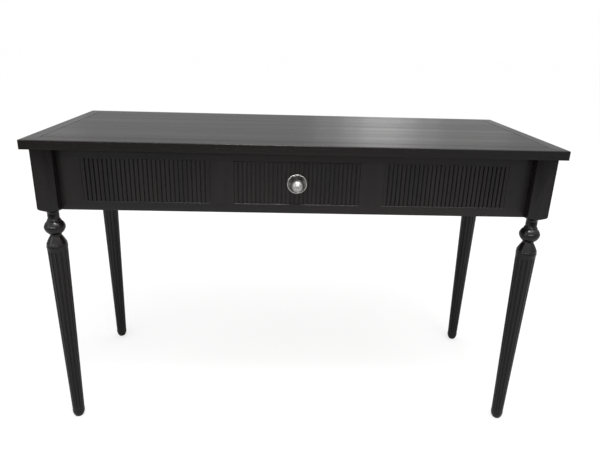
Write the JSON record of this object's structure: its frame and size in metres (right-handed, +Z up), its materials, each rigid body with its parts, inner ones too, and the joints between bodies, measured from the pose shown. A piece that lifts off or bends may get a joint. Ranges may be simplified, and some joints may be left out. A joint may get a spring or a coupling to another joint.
{
  "type": "console table",
  "caption": "Console table: framed rectangular top, reeded frieze with a middle drawer and round knob, on turned and fluted tapering legs.",
  "frame": {"origin": "on the floor, under the middle of the top", "axes": "+X to the right along the length, +Y to the back, +Z up; the drawer opens towards -Y"},
  "size_m": [1.26, 0.492, 0.78],
  "materials": {
    "top_panel": "very dark espresso, semi-gloss lacquer",
    "top_border": "very dark espresso, semi-gloss lacquer",
    "leg_wood": "very dark espresso, semi-gloss lacquer",
    "frieze_wood": "very dark espresso, satin lacquer",
    "reeded_wood": "very dark espresso, satin lacquer",
    "apron_wood": "very dark espresso, satin lacquer",
    "drawer_wood": "clear sealed hardwood",
    "drawer_ply": "clear sealed plywood",
    "inner_wood": "plain secondary timber",
    "knob_metal": "antiqued pewter, lightly hammered",
    "screw_steel": "zinc plated",
    "clip_steel": "zinc plated",
    "glide_nylon": "dark nylon"
  },
  "bodies": {
    "table": {"top_panel": "top_panel", "top_front_border": "top_border", "top_back_border": "top_border", "top_left_border": "top_border", "top_right_border": "top_border", "front_left_leg": "leg_wood", "front_right_leg": "leg_wood", "back_left_leg": "leg_wood", "back_right_leg": "leg_wood", "front_top_rail": "frieze_wood", "front_bottom_rail": "frieze_wood", "front_left_outer_stile": "frieze_wood", "front_right_outer_stile": "frieze_wood", "front_left_inner_stile": "frieze_wood", "front_right_inner_stile": "frieze_wood", "left_reeded_panel": "reeded_wood", "right_reeded_panel": "reeded_wood", "back_apron": "apron_wood", "left_apron": "apron_wood", "right_apron": "apron_wood", "left_drawer_runner": "inner_wood", "right_drawer_runner": "inner_wood", "left_drawer_kicker": "inner_wood", "right_drawer_kicker": "inner_wood", "left_drawer_stop": "inner_wood", "right_drawer_stop": "inner_wood", "front_left_corner_block": "inner_wood", "front_right_corner_block": "inner_wood", "back_left_corner_block": "inner_wood", "back_right_corner_block": "inner_wood", "tabletop_screws": "screw_steel", "corner_block_screws": "screw_steel", "tabletop_clips": "clip_steel", "foot_glides": "glide_nylon"},
    "drawer": {"drawer_front": "reeded_wood", "drawer_left_side": "drawer_wood", "drawer_right_side": "drawer_wood", "drawer_back": "drawer_wood", "drawer_bottom": "drawer_ply", "drawer_catch": "drawer_wood", "drawer_catch_screw": "screw_steel", "knob_rosette": "knob_metal", "knob": "knob_metal", "knob_screw": "screw_steel", "knob_washer": "screw_steel"}
  },
  "joints": [
    {"name": "drawer_slide", "type": "slide", "parent": "table", "child": "drawer", "axis": [0, -1, 0], "range_m": [0, 0.28]}
  ]
}
